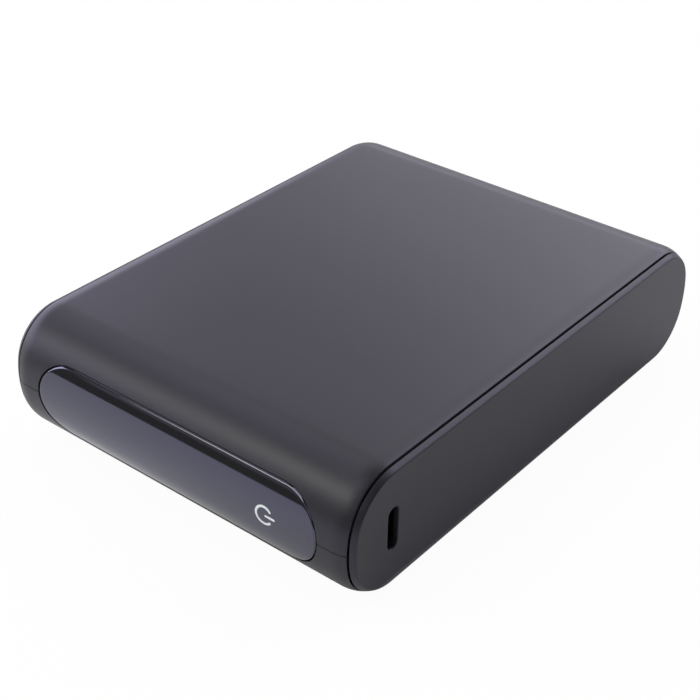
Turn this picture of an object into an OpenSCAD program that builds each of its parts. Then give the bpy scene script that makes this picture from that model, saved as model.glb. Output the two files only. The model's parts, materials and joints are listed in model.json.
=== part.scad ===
// Pocket network storage box: two shells and two end caps around a 2.5-inch drive, a battery
// and two boards, with a long front key that rocks on a pin. The front is -Y, the right end +X.
// The case takes its width, depth and height from what it holds.

/* [Case] */
// Radius of the four long edges
corner_r = 12.7; // [11:0.1:14]
// Radius of the bulged front and back
face_r = 24.3; // [20:0.1:40]
// Wall thickness of the shells
wall = 1.8; // [1.4:0.1:2.2]
// Length over which each end rolls off
roll_len = 4.8; // [3.6:0.1:6]
// Radius of that roll
roll_r = 8; // [7:0.5:20]
// Width of the end cap rim that shows
rim_w = 1.2; // [1:0.1:1.8]
// Width of the shadow groove beside the rim
groove_w = 0.4; // [0.3:0.1:0.7]
// Gap at the parting line
seam = 0.15; // [0.05:0.05:0.3]
// Length of the cap collar inside the shells
collar_len = 2.9; // [2:0.1:3.4]
// Thickness of the collar
collar_t = 1.2; // [0.8:0.1:1.6]
// Gap between collar and shells
collar_gap = 0.15; // [0.05:0.05:0.3]
// Gap between collar and posts
collar_room = 0.475; // [0.3:0.025:1]
// Room between the case front and the drive
front_room = 17; // [15:0.5:20]
// Reach of the drive past the start of the back roll
drive_over = 2.1; // [1:0.1:2.3]

/* [Feet] */
// Diameter of a foot
foot_d = 10; // [6:0.5:11]
// Height of a foot below the case
foot_h = 1; // [0.5:0.1:2]
// Depth of its seat in the lower shell
foot_seat = 0.5; // [0.3:0.1:0.8]
// Feet inside the drive's sides
foot_side = 5.925; // [5.5:0.025:12]
// Feet from the front and back of the case
foot_end = 20; // [18:0.5:30]

/* [Front key] */
// Ends of the key short of the case ends
panel_end = 8.4; // [7.5:0.1:12]
// Height of the key
panel_h = 17.2; // [15:0.1:19.5]
// Thickness of the key
panel_t = 1.7; // [1.4:0.1:2]
// Gap around the key
panel_gap = 0.25; // [0.2:0.05:0.5]
// Free room behind the key
panel_room = 0.9; // [0.8:0.1:1.2]
// Thickness of the carrier behind it
carrier_t = 1.2; // [1:0.1:1.4]
// Overlap of the carrier behind the shells
carrier_lip = 1.6; // [1.2:0.1:1.8]
// Gap between carrier and shells
carrier_gap = 0.05; // [0.02:0.01:0.1]
// Hinge pin inside the left end of the key
hinge_end = 5.1; // [4.5:0.1:8]
// Hinge pin behind the front
hinge_in = 5.2; // [4.6:0.1:5.8]
// Diameter of the hinge pin
pin_d = 1.6; // [1.2:0.1:1.8]
// Running gap around the pin
pin_gap = 0.05; // [0.03:0.01:0.08]
// Diameter of the hinge eyes
eye_d = 3.2; // [2.8:0.1:3.6]
// Height of the key's eye
eye_h = 4; // [3:0.1:5]
// Height of each carrier eye
ear_h = 2; // [1.5:0.1:3]
// Gap between the eyes
eye_gap = 0.15; // [0.1:0.05:0.3]
// Power mark inside the right end of the key
mark_in = 12.8; // [11:0.1:16]
// Outer diameter of the power mark's ring
mark_d = 4.5; // [3:0.1:6]
// Line width of the power mark
mark_line = 0.5; // [0.4:0.05:0.8]
// Length of the power mark's bar
mark_bar = 2.6; // [2:0.1:3]
// Depth of the power mark in the key
mark_deep = 0.4; // [0.3:0.05:0.6]
// Fit of the power mark in the key
mark_fit = 0.02; // [0.01:0.01:0.04]

/* [Power switch] */
// Width of the switch
switch_w = 6; // [5:0.5:7]
// Depth of the switch
switch_l = 3.4; // [3:0.1:4]
// Height of the switch
switch_h = 4; // [3.6:0.1:5]
// Overhang of the switch ahead of the board
switch_over = 1.4; // [1:0.1:1.6]
// Diameter of the plunger
plunger_d = 2; // [1.5:0.1:2.4]
// Plunger ahead of the switch
plunger_out = 1.4; // [1:0.1:1.6]
// Plunger inside the switch
plunger_in = 0.9; // [0.6:0.1:1.2]
// Free depth behind the plunger
plunger_room = 0.7; // [0.5:0.1:1]
// Gap around the plunger
plunger_gap = 0.06; // [0.04:0.01:0.1]
// Gap between plunger and key post
press_gap = 0.15; // [0.1:0.05:0.3]
// Diameter of the key post
press_d = 3; // [2:0.1:3.4]
// Gap around the key post in the carrier
press_side = 0.5; // [0.3:0.1:0.8]
// Diameter of the light guide
guide_d = 2.4; // [2:0.1:3]
// Light guide beside the switch
guide_side = 6; // [5.4:0.1:7]

/* [USB-C socket] */
// Socket behind the front
usb_in = 12.7; // [11.4:0.1:14]
// Height of the slot in the cap
usb_slot_l = 10; // [9.2:0.1:11]
// Width of the slot in the cap
usb_slot_w = 3.2; // [2.8:0.1:3.6]
// Width of the socket
usb_w = 8.94; // [8:0.02:9.8]
// Thickness of the socket
usb_h = 3.16; // [2.9:0.02:3.5]
// Length of the socket
usb_l = 7.35; // [6.6:0.05:8.2]
// Sheet thickness of the socket
usb_wall = 0.3; // [0.2:0.05:0.35]
// Mouth of the socket behind the end face
usb_deep = 1; // [0.8:0.1:1.2]
// Gap around the socket
usb_gap = 0.2; // [0.1:0.05:0.3]
// Width of the tongue
tongue_w = 6.69; // [6:0.01:7.2]
// Thickness of the tongue
tongue_t = 0.7; // [0.6:0.02:0.8]

/* [Network socket] */
// Gap between socket and front posts
lan_side = 2.2; // [1:0.1:4]
// Width of the socket
lan_w = 16; // [15:0.1:18]
// Length of the socket
lan_l = 21; // [18:0.5:23]
// Height of the socket
lan_h = 11.5; // [11:0.1:13]
// Room between socket and cap collar
lan_roof = 0.58; // [0.3:0.02:1]
// Mouth of the socket behind the end face
lan_deep = 0.2; // [0.1:0.05:0.6]
// Gap around the socket in the cap
lan_gap = 0.2; // [0.1:0.05:0.3]
// Width of the socket's hole
lan_hole_w = 11.9; // [11:0.1:13]
// Height of the socket's hole
lan_hole_h = 7.6; // [6.8:0.1:8.4]
// Depth of the socket's hole
lan_hole_l = 15; // [13:0.5:17]
// Floor below the socket's hole
lan_floor = 2.6; // [2.3:0.1:2.9]
// Width of the latch channel
latch_w = 6.2; // [5.5:0.1:7]
// Depth of the latch channel
latch_h = 1.5; // [1:0.1:1.8]
// Latch channel short of the hole's end
latch_end = 4; // [2:0.5:6]

/* [Drive] */
// Width of the drive
drive_w = 69.85; // [60:0.05:80]
// Length of the drive
drive_l = 100.2; // [95:0.1:112]
// Height of the drive
drive_h = 7; // [6.8:0.1:9.5]
// Thickness of the platter
platter_t = 0.8; // [0.6:0.05:0.9]
// Gap between platter and side wall
platter_gap = 0.725; // [0.5:0.025:1.5]
// Diameter of the hub under the platter
hub_d = 20; // [18:0.1:22]
// Diameter of the platter clamp
clamp_d = 22; // [20:0.1:24]
// Diameter of the fixed spindle shaft
shaft_d = 3; // [2.5:0.1:4]
// Running gap of hub and arm
run_gap = 0.05; // [0.03:0.01:0.08]
// Thickness of the drive cover
cover_t = 0.5; // [0.4:0.05:0.6]
// Thickness of the drive's side wall
tub_wall = 1.7; // [1.5:0.1:1.9]
// Arm pivot inside the drive's right side
arm_side = 16.925; // [15.5:0.025:18]
// Arm pivot ahead of the platter's edge
arm_front = 3.5; // [3:0.1:5]
// Reach of the head arm
arm_l = 32; // [29:0.1:34]
// Thickness of one head arm
arm_t = 0.6; // [0.5:0.05:0.65]
// Diameter of the arm pivot
pivot_d = 5; // [4:0.1:6]
// Rubber under the drive
pad_t = 0.6; // [0.5:0.05:0.7]
// Rubber over the drive
pad_over = 0.5; // [0.45:0.05:0.6]
// Rubber beside the drive
pad_side = 1.2; // [1:0.1:1.4]
// Length of a rubber corner
pad_l = 7.5; // [6:0.5:9]
// Gap between rubber corners and posts
pad_gap = 0.5; // [0.3:0.1:2]

/* [Inside] */
// Diameter of the lower posts
post_d = 6; // [5.4:0.1:7]
// Diameter of the upper posts
pillar_d = 6.6; // [5.8:0.1:7.4]
// Gap between drive and posts
post_side = 0.3; // [0.2:0.05:0.6]
// Diameter of the spigot on a lower post
spigot_d = 4.4; // [4:0.1:4.8]
// Gap around the spigot
spigot_gap = 0.1; // [0.05:0.01:0.15]
// Diameter of the case screws
screw_d = 2.5; // [2:0.1:2.8]
// Length of the case screws
screw_l = 18; // [16:0.5:20]
// Gap around a screw thread
thread_gap = 0.03; // [0.02:0.01:0.05]
// Thickness of the middle frame
frame_t = 1.2; // [1:0.1:1.4]
// Height of the board standoffs
standoff_h = 1; // [0.8:0.1:1.4]
// Thickness of the main board
board_t = 1.6; // [1.2:0.1:1.8]
// Gap between hinge eyes and main board
board_gap = 0.6; // [0.4:0.1:1]
// Main board behind the network socket
board_tail = 0.9; // [0.5:0.1:3]
// Main board short of the end faces
board_end = 5.5; // [5.2:0.1:7]
// Gap between main board and battery
battery_gap = 4.5; // [3:0.5:5]
// Battery short of the drive's back
battery_end = 1.3; // [1.2:0.1:10]
// Width of the battery
battery_w = 66; // [50:0.5:66]
// Thickness of the battery
battery_h = 9.5; // [6:0.5:11]

/* [Hidden] */
$fa = 6;
$fs = 0.4;
case_colour = "#3d3c42";
cap_colour = "#38373d";
gloss_colour = "#55545a";
rubber_colour = "#232326";
steel_colour = "#b9bcc0";
cast_colour = "#9fa3a8";
board_colour = "#1f5a3c";
chip_colour = "#26272a";
gold_colour = "#c9a24a";
frame_colour = "#2e2f33";
pale_colour = "#e6e2d6";
face_steps = 4;
corner_steps = 14;
roll_steps = 4;
cut = 1;
sink = 0.4;

// Case size, from the stack and the row of pieces inside
roll_in = roll_len - rim_w - groove_w;
collar_out = tidy(roll_r - sqrt(roll_r * roll_r - roll_in * roll_in) + wall + collar_gap);
case_h = wall + pad_t + drive_h + pad_over + frame_t + standoff_h + board_t + lan_h
    + lan_roof + collar_t + collar_out;
post_x = drive_w / 2 + post_side + post_d / 2;
case_w = 2 * (post_x + pillar_d / 2 + collar_room + collar_len + groove_w + rim_w);

// Case section: a face arc and a corner arc for each quarter, insets run parallel
corner_up = case_h / 2 - corner_r;
corner_in = face_r - sqrt(pow(face_r - corner_r, 2) - pow(corner_up, 2));
face_a = asin(corner_up / (face_r - corner_r));
case_d = tidy(front_room + drive_l + corner_in - drive_over);

// Levels and planes that the pieces share
front_y = -case_d / 2;
mid_z = foot_h + case_h / 2;
floor_z = foot_h + wall;
roof_z = foot_h + case_h - wall;
drive_z = floor_z + pad_t;
drive_top = drive_z + drive_h;
frame_z = drive_top + pad_over;
frame_top = frame_z + frame_t;
board_z = frame_top + standoff_h;
board_top = board_z + board_t;
cap_x = case_w / 2 - rim_w;
shell_x = cap_x - groove_w;
roll_x = case_w / 2 - roll_len;
drive_y0 = front_y + front_room;
drive_y1 = drive_y0 + drive_l;
drive_mid = (drive_y0 + drive_y1) / 2;
foot_x = drive_w / 2 - foot_side;
foot_y = case_d / 2 - foot_end;
foot_spots = [for (i = [-1, 1], j = [-1, 1]) [i * foot_x, j * foot_y]];

// Posts and screws
post_front = drive_y0 + pad_l + pad_gap + post_d / 2;
post_back = drive_y1 - pad_l - pad_gap - post_d / 2;
post_spots = [for (x = [-post_x, post_x], y = [post_front, post_back]) [x, y]];
seat_t = 1.4;
seat_z = floor_z + seat_t;
head_h = 1.8;
head_over = 2.2;
head_gap = 0.1;
shank_gap = 0.2;
cross_w = 0.5;
cross_l = 3;
cross_h = 1;
screw_end = 1;
spigot_h = 3.4;
spigot_top = frame_top + spigot_h;
spigot_end = 0.2;
ear_ring = 2;
foot_gap = 0.05;

// Front key, switch and light guide
panel_l = case_w - 2 * panel_end;
carrier_end = panel_l / 2 + panel_gap + carrier_lip;
carrier_out = wall + carrier_gap + roll(carrier_end);
carrier_floor = panel_t + panel_room;
carrier_back = carrier_floor + carrier_t;
carrier_deep = 9.5;
key_deep = 8;
hinge_x = hinge_end - panel_l / 2;
hinge_y = front_y + hinge_in;
hinge_side = 0.5;
mark_x = panel_l / 2 - mark_in;
mark_a = 42;
mark_start = 0.2;
board_y0 = hinge_y + eye_d / 2 + board_gap;
switch_y = board_y0 - switch_over;
plunger_z = board_top + switch_h / 2;
plunger_y0 = switch_y - plunger_out;
guide_x = mark_x - guide_side;
guide_flange = 0.5;
guide_step = 0.3;
guide_t = 0.8;
light_w = 2.8;
light_l = 1.4;
light_gap = 0.1;
light_in = 0.2;
light_y = board_y0 + light_in;
light_over = 0.9;

// Ports
usb_y = front_y + usb_in;
usb_x1 = case_w / 2 - usb_deep;
usb_x0 = usb_x1 - usb_l;
usb_block = 2;
usb_fit = 0.02;
usb_leg = 1.2;
usb_leg_in = 1;
tongue_end = 0.6;
lan_mid = post_front + pillar_d / 2 + lan_side + lan_w / 2;
lan_x0 = lan_deep - case_w / 2;
lan_z = board_top + lan_floor;
contact_n = 8;
contact_pitch = 1.02;
contact_w = 0.36;
contact_t = 0.35;
contact_in = 4;

// Drive inside
tub_floor = 2;
tub_z = drive_z + tub_floor;
tub_side = 1.6;
tub_front = 9.5;
tub_over = 8;
lid_r = 1.5;
cover_z = drive_top - cover_t;
platter_d = drive_w - 2 * (tub_wall + platter_gap);
platter_y = drive_y1 - drive_w / 2;
platter_up = 3.9;
platter_z = drive_z + platter_up;
flange_over = 4;
flange_h = 1;
hub_low = 0.15;
hub_pilot = 12;
shaft_end = 0.2;
clamp_t = 0.8;
clamp_bore = 4;
clamp_in = 3.4;
clamp_hole = 1.6;
clamp_n = 6;
arm_x = drive_w / 2 - arm_side;
arm_y = platter_y - platter_d / 2 - arm_front;
arm_park = 175;
arm_range = 36;
arm_gap = 0.4;
arm_root = 9;
arm_waist = 4.4;
waist_at = 0.62;
arm_tip = 1.8;
sleeve_t = 2.5;
sleeve_low = 0.3;
coil_low = 0.1;
coil_z = platter_z - coil_low;
coil_t = 1.2;
coil_gap = 0.4;
coil_l = 12;
coil_w = 11;
coil_neck = 7;
yoke_r = 13.4;
yoke_a = 20;
drive_pcb_t = 0.8;
drive_pcb_l = 55;
drive_pcb_side = 3.9;
drive_pcb_gap = 0.3;
drive_pcb_low = 0.1;
lid_edge = 1.5;
lid_in = 18;
lid_screw_d = 1.2;
lid_screw_l = 1.8;
lid_head_d = 2.4;
lid_head_h = 0.3;
lid_hole_l = 2;
lid_spots = [for (i = [-1, 1], y = [drive_y0 + lid_in, drive_mid, drive_y1 - lid_in])
    [i * (drive_w / 2 - lid_edge), y]];
connector_w = 41;
connector_l = 6;
connector_h = 4.6;
connector_in = 0.2;
connector_gap = 0.1;
connector_up = 1;
connector_z = drive_z + connector_up;
blade_h = 1.4;
blade_l = 3;
blade_gap = 0.2;
blade_root = 0.5;
blades = [[-11, 10], [6, 20]];
link_t = 1.2;
link_side = 2;
link_low = 0.5;
socket_l = 3.9;
socket_gap = 0.1;
link_y = drive_y0 - socket_gap - socket_l;
pad_low = 1.2;
pad_free = 0.3;
pad_cut = drive_over + pad_free;

// Frame, main board and battery
frame_side = 0.6;
frame_front = 0.6;
fence_t = 0.8;
fence_h = 3.6;
fence_gap = 0.3;
fence_w = 12;
standoff_d = 5;
board_y1 = lan_mid + lan_w / 2 + board_tail;
board_w = case_w - 2 * board_end;
board_room = 0.5;
board_screw_d = 2;
board_screw_gap = 0.1;
board_head_d = 3.6;
board_head_h = 1.2;
screw_side = 12;
screw_front = 13.6;
screw_back = 4;
screw_lan = 7.3;
screw_x = board_w / 2 - screw_side;
board_spots = [[screw_x, board_y0 + screw_front], [-screw_x, board_y0 + screw_front],
    [screw_x, board_y1 - screw_back], [lan_x0 + lan_l + screw_lan, board_y1 - screw_back]];
chip_x = 6;
chip_in = 27;
chip_spot = [chip_x, board_y0 + chip_in];
chip_w = 15;
chip_h = 1.4;
sink_w = 20;
sink_l = 18;
sink_t = 1.2;
fin_n = 8;
fin_t = 1;
fin_h = 4;
memory_w = 11;
memory_l = 9;
memory_h = 1.1;
memory_side = 13.5;
memory_in = 20.8;
memory_pitch = 10.6;
memory_spots = [for (i = [0, 1]) [board_w / 2 - memory_side, board_y0 + memory_in + i * memory_pitch]];
coil_box_w = 9.2;
coil_box_l = 12.8;
coil_box_h = 5.6;
coil_box_gap = 1.4;
coil_box_in = 6.5;
wifi_x = 12;
wifi_in = 13;
wifi_spot = [-wifi_x, board_y0 + wifi_in];
wifi_w = 16;
wifi_l = 12;
wifi_h = 2.2;
antenna_w = 30;
antenna_l = 8;
antenna_t = 0.3;
antenna_gap = 0.01;
antenna_x = 20;
antenna_run = 33.6;
antenna_y = wifi_spot[1] + antenna_run;
lead_d = 1;
lead_bend = 2.5;
lead_x = 5;
lead_gap = 0.02;
battery_y0 = board_y1 + battery_gap;
battery_l = drive_y1 - battery_end - battery_y0;
battery_mid = battery_y0 + battery_l / 2;
battery_r = 2;
header_x = 6;
header_w = 6.8;
header_l = 4;
header_h = 4.4;
header_in = 1;
wire_d = 1.3;
wire_x = 1;
wire_z = board_top + header_h / 2;

// Length to the nearest hundredth
function tidy(v) = round(v * 100) / 100;

// Inset of the case skin where an end rolls off
function roll(x) = let (s = max(0, abs(x) - roll_x)) roll_r - sqrt(roll_r * roll_r - s * s);

// Quarter of the section, from the parting line up: [distance behind the front, height above it]
function quarter(k) = concat(
    [for (i = [0:face_steps - 1])
        let (a = face_a * i / face_steps)
        [face_r - (face_r - k) * cos(a), (face_r - k) * sin(a)]],
    [for (i = [0:corner_steps])
        let (a = face_a + (90 - face_a) * i / corner_steps)
        [corner_in - (corner_r - k) * cos(a), corner_up + (corner_r - k) * sin(a)]]);

function reversed(v) = [for (i = [len(v) - 1:-1:0]) v[i]];

// Upper half of the section from the front over the top to the back: [y, height]
function half_outline(k) = let (q = quarter(k)) concat(
    [for (p = q) [front_y + p[0], p[1]]],
    [for (p = reversed(q)) [-front_y - p[0], p[1]]]);

function full_outline(k) = let (h = half_outline(k), n = len(h)) concat(
    h,
    [for (i = [n - 2:-1:1]) [h[i][0], -h[i][1]]]);

// Front of the section between two insets, as a closed outline
function front_band(k0, k1) = let (a = quarter(k0), b = quarter(k1)) concat(
    [for (p = reversed(a)) [front_y + p[0], -p[1]]],
    [for (i = [1:len(a) - 1]) [front_y + a[i][0], a[i][1]]],
    [for (p = reversed(b)) [front_y + p[0], p[1]]],
    [for (i = [1:len(b) - 1]) [front_y + b[i][0], -b[i][1]]]);

function steps(a, b, n) = [for (i = [0:n]) a + (b - a) * i / n];

// Solid through a row of loops that share one point count, ordered along +X
module skin(loops) {
    n = len(loops[0]);
    m = len(loops);
    sides = [for (j = [0:m - 2], i = [0:n - 1])
        let (a = j * n + i, b = j * n + (i + 1) % n)
        each [[a, b, b + n], [a, b + n, a + n]]];
    ends = [for (i = [0:n / 2 - 2])
        let (p = i + 1, q = n - 2 - i, r = n - 1 - i, o = (m - 1) * n)
        each [[o + i, o + p, o + q], [o + i, o + q, o + r], [q, p, i], [r, q, i]]];
    polyhedron(points = [for (l = loops) each l], faces = concat(sides, ends), convexity = 8);
}

// Section outline drawn along X between two planes
module along_x(outline, x0, x1) {
    translate([x0, 0, mid_z])
        rotate([90, 0, 90])
            linear_extrude(x1 - x0)
                polygon(outline);
}

module rod_y(d, y0, y1) {
    translate([0, y0, 0])
        rotate([-90, 0, 0])
            cylinder(d = d, h = y1 - y0);
}

// Round-ended bar, long along X, thick along Y
module stadium_y(l, h, y0, y1) {
    for (s = [-1, 1])
        translate([s * (l - h) / 2, 0, 0])
            rod_y(h, y0, y1);
    translate([(h - l) / 2, y0, -h / 2])
        cube([l - h, y1 - y0, h]);
}

// Round-ended bar, long along Z, thick along X
module stadium_x(l, w, x0, x1) {
    for (s = [-1, 1])
        translate([x0, 0, s * (l - w) / 2])
            rotate([0, 90, 0])
                cylinder(d = w, h = x1 - x0);
    translate([x0, -w / 2, (w - l) / 2])
        cube([x1 - x0, w, l - w]);
}

module slab(x0, x1, y0, y1, z0, z1) {
    translate([x0, y0, z0])
        cube([x1 - x0, y1 - y0, z1 - z0]);
}

// Block centred on its spot, standing on the given height
module block(w, l, h) {
    slab(-w / 2, w / 2, -l / 2, l / 2, 0, h);
}

// Plate with round corners, centred on its spot
module round_plate(w, l, h, r) {
    block(w, l - 2 * r, h);
    block(w - 2 * r, l, h);
    for (i = [-1, 1], j = [-1, 1])
        translate([i * (w / 2 - r), j * (l / 2 - r), 0])
            cylinder(r = r, h = h);
}

module at_spots(spots, z = 0) {
    for (p = spots)
        translate([p[0], p[1], z])
            children();
}

// Case

module half_shell() {
    xs = concat([for (x = steps(shell_x, roll_x, roll_steps)) -x], steps(roll_x, shell_x, roll_steps));
    loops = [for (x = xs)
        let (k = roll(x))
        [for (p = concat(half_outline(k), reversed(half_outline(k + wall))))
            [x, p[0], max(p[1], seam / 2)]]];
    skin(loops);
}

module panel_opening() {
    translate([0, 0, mid_z])
        stadium_y(panel_l + 2 * panel_gap, panel_h + 2 * panel_gap, front_y - cut, front_y + key_deep);
}

module upper_shell() {
    color(case_colour)
        difference() {
            union() {
                translate([0, 0, mid_z])
                    half_shell();
                at_spots(post_spots, frame_top)
                    cylinder(d = pillar_d, h = roof_z + wall / 2 - frame_top);
            }
            panel_opening();
            at_spots(post_spots, frame_top - cut) {
                cylinder(d = spigot_d + 2 * spigot_gap, h = spigot_h + spigot_end + cut);
                cylinder(d = screw_d + 2 * thread_gap, h = seat_z + screw_l + screw_end - frame_top + cut);
            }
        }
}

module lower_shell() {
    color(case_colour)
        difference() {
            union() {
                translate([0, 0, mid_z])
                    mirror([0, 0, 1])
                        half_shell();
                at_spots(post_spots, floor_z - wall / 2) {
                    cylinder(d = post_d, h = frame_z - floor_z + wall / 2);
                    cylinder(d = spigot_d, h = spigot_top - floor_z + wall / 2);
                }
            }
            panel_opening();
            at_spots(post_spots) {
                cylinder(d = screw_d + 2 * shank_gap, h = spigot_top + cut);
                cylinder(d = screw_d + head_over + 2 * head_gap, h = seat_z);
            }
            at_spots(foot_spots)
                cylinder(d = foot_d + 2 * foot_gap, h = foot_h + foot_seat);
        }
}

module end_cap() {
    skin([for (x = steps(cap_x, case_w / 2, 3)) [for (p = full_outline(roll(x))) [x, p[0], p[1] + mid_z]]]);
    difference() {
        along_x(full_outline(collar_out), shell_x - collar_len, cap_x + sink);
        along_x(full_outline(collar_out + collar_t), shell_x - collar_len - cut, cap_x + sink / 2);
    }
}

module right_end_cap() {
    color(cap_colour)
        difference() {
            end_cap();
            translate([0, usb_y, mid_z]) {
                stadium_x(usb_slot_l, usb_slot_w, cap_x - cut, case_w / 2 + cut);
                stadium_x(usb_w + 2 * usb_gap, usb_h + 2 * usb_gap, cap_x - cut, usb_x1 + usb_gap);
            }
        }
}

module left_end_cap() {
    color(cap_colour)
        difference() {
            mirror([1, 0, 0])
                end_cap();
            translate([-case_w / 2, lan_mid, board_top - lan_gap])
                slab(-cut, rim_w + cut, -lan_w / 2 - lan_gap, lan_w / 2 + lan_gap, 0, lan_h + 2 * lan_gap);
        }
}

module rubber_feet() {
    color(rubber_colour)
        at_spots(foot_spots)
            cylinder(d = foot_d, h = foot_h + foot_seat);
}

module case_screws() {
    color(steel_colour)
        at_spots(post_spots, seat_z)
            difference() {
                union() {
                    cylinder(d = screw_d, h = screw_l);
                    translate([0, 0, -head_h])
                        cylinder(d = screw_d + head_over, h = head_h);
                }
                for (a = [0, 90])
                    rotate(a)
                        translate([0, 0, -head_h - cut])
                            block(cross_l, cross_w, cross_h + cut);
            }
}

// Front key

// Ring with a gap to the right and a bar through that gap, drawn through the front
module power_mark_prism(grow) {
    ring_r = (mark_d - mark_line) / 2;
    y0 = front_y - cut;
    y1 = front_y + key_deep;
    gap_x = mark_d * cos(mark_a);
    gap_z = mark_d * sin(mark_a);
    translate([mark_x, 0, mid_z]) {
        difference() {
            rod_y(mark_d + 2 * grow, y0, y1);
            rod_y(mark_d - 2 * mark_line - 2 * grow, y0 - cut, y1 + cut);
            translate([0, y1 + cut, 0])
                rotate([90, 0, 0])
                    linear_extrude(y1 - y0 + 2 * cut)
                        polygon([[0, 0], [gap_x, -gap_z], [2 * mark_d, -gap_z],
                                 [2 * mark_d, gap_z], [gap_x, gap_z]]);
        }
        for (s = [-1, 1])
            translate([ring_r * cos(mark_a), 0, s * ring_r * sin(mark_a)])
                rod_y(mark_line + 2 * grow, y0, y1);
        translate([mark_bar / 2 + mark_start, 0, 0])
            stadium_y(mark_bar + 2 * grow, mark_line + 2 * grow, y0, y1);
    }
}

module power_mark() {
    color("#e8e8ea")
        intersection() {
            power_mark_prism(0);
            along_x(front_band(0, mark_deep), mark_x - mark_d, mark_x + mark_d);
        }
}

module front_panel() {
    color(gloss_colour)
        difference() {
            union() {
                intersection() {
                    translate([0, 0, mid_z])
                        stadium_y(panel_l, panel_h, front_y - cut, front_y + key_deep);
                    along_x(front_band(0, panel_t), -panel_l, panel_l);
                }
                translate([hinge_x, 0, mid_z - eye_h / 2]) {
                    translate([0, hinge_y, 0])
                        cylinder(d = eye_d, h = eye_h);
                    slab(-eye_d / 2, eye_d / 2, front_y + panel_t - sink, hinge_y, 0, eye_h);
                }
                translate([mark_x, 0, plunger_z])
                    rod_y(press_d, front_y + panel_t - sink, plunger_y0 - press_gap);
            }
            translate([hinge_x, hinge_y, mid_z - eye_h])
                cylinder(d = pin_d + 2 * pin_gap, h = 2 * eye_h);
            intersection() {
                power_mark_prism(mark_fit);
                along_x(front_band(-cut / 2, mark_deep + mark_fit), mark_x - mark_d, mark_x + mark_d);
            }
        }
}

module hinge_pin() {
    color(steel_colour)
        translate([hinge_x, hinge_y, mid_z - eye_h / 2 - eye_gap - ear_h])
            cylinder(d = pin_d, h = eye_h + 2 * eye_gap + 2 * ear_h);
}

module panel_carrier() {
    carrier_h = panel_h + 2 * (panel_gap + carrier_lip);
    eye_room = eye_h / 2 + eye_gap;
    y0 = front_y - cut;
    y1 = front_y + key_deep + cut;
    color(frame_colour)
        difference() {
            union() {
                intersection() {
                    translate([0, 0, mid_z])
                        stadium_y(2 * carrier_end, carrier_h, y0, front_y + carrier_deep);
                    along_x(front_band(carrier_out, carrier_back), -carrier_end, carrier_end);
                }
                for (z = [-eye_room - ear_h, eye_room])
                    translate([hinge_x, 0, mid_z + z]) {
                        translate([0, hinge_y, 0])
                            cylinder(d = eye_d, h = ear_h);
                        slab(-eye_d / 2, eye_d / 2, front_y + carrier_back - sink, hinge_y, 0, ear_h);
                    }
            }
            intersection() {
                panel_opening();
                along_x(front_band(0, carrier_floor), -panel_l, panel_l);
            }
            translate([hinge_x, 0, mid_z])
                slab(-eye_d / 2 - hinge_side, eye_d / 2 + hinge_side, y0, y1, -eye_room, eye_room);
            translate([hinge_x, hinge_y, mid_z - eye_room - ear_h - cut])
                cylinder(d = pin_d + 2 * thread_gap, h = 2 * (eye_room + ear_h + cut));
            translate([mark_x, 0, plunger_z])
                rod_y(press_d + 2 * press_side, y0, y1);
            translate([guide_x, 0, plunger_z])
                rod_y(guide_d + 2 * thread_gap, y0, y1);
        }
}

module light_guide() {
    color("#dfe6ea")
        translate([guide_x, 0, plunger_z]) {
            rod_y(guide_d, front_y + carrier_floor, light_y - light_gap);
            translate([0, front_y + carrier_back + guide_step, 0])
                rod_y(guide_d + 2 * guide_flange, 0, guide_t);
        }
}

module power_light() {
    color(pale_colour)
        translate([guide_x, light_y + light_l / 2, board_top])
            block(light_w, light_l, switch_h / 2 + light_over);
}

module power_switch() {
    color(chip_colour)
        difference() {
            translate([mark_x, switch_y + switch_l / 2, board_top])
                block(switch_w, switch_l, switch_h);
            translate([mark_x, 0, plunger_z])
                rod_y(plunger_d + 2 * plunger_gap, switch_y - cut, switch_y + plunger_in + plunger_room);
        }
}

module switch_plunger() {
    color(pale_colour)
        translate([mark_x, 0, plunger_z])
            rod_y(plunger_d, plunger_y0, switch_y + plunger_in);
}

// Ports

module usb_socket_shell() {
    color(chip_colour) {
        difference() {
            translate([0, usb_y, mid_z])
                stadium_x(usb_w, usb_h, usb_x0, usb_x1);
            translate([0, usb_y, mid_z])
                stadium_x(usb_w - 2 * usb_wall, usb_h - 2 * usb_wall, usb_x0 - cut, usb_x1 + cut);
        }
        for (s = [-1, 1])
            translate([usb_x0 + usb_leg_in, usb_y + s * (usb_h + usb_leg - usb_wall) / 2, board_top])
                block(usb_leg, usb_leg, usb_wall);
    }
}

module usb_socket_tongue() {
    fit = usb_wall + usb_fit;
    color(chip_colour)
        translate([0, usb_y, mid_z]) {
            stadium_x(usb_w - 2 * fit, usb_h - 2 * fit, usb_x0, usb_x0 + usb_block);
            slab(usb_x0 + usb_block / 2, usb_x1 - tongue_end,
                 -tongue_t / 2, tongue_t / 2, -tongue_w / 2, tongue_w / 2);
        }
}

module network_socket() {
    color(frame_colour)
        translate([lan_x0, lan_mid, 0])
            difference() {
                slab(0, lan_l, -lan_w / 2, lan_w / 2, board_top, board_top + lan_h);
                slab(-cut, lan_hole_l, -lan_hole_w / 2, lan_hole_w / 2, lan_z, lan_z + lan_hole_h);
                slab(-cut, lan_hole_l - latch_end, -latch_w / 2, latch_w / 2, lan_z - latch_h, lan_z + cut);
            }
}

module network_contacts() {
    color(gold_colour)
        for (i = [0:contact_n - 1])
            translate([lan_x0, lan_mid + (i - (contact_n - 1) / 2) * contact_pitch, lan_z + lan_hole_h])
                slab(contact_in, lan_hole_l, -contact_w / 2, contact_w / 2, -contact_t, 0);
}

// Drive

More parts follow.
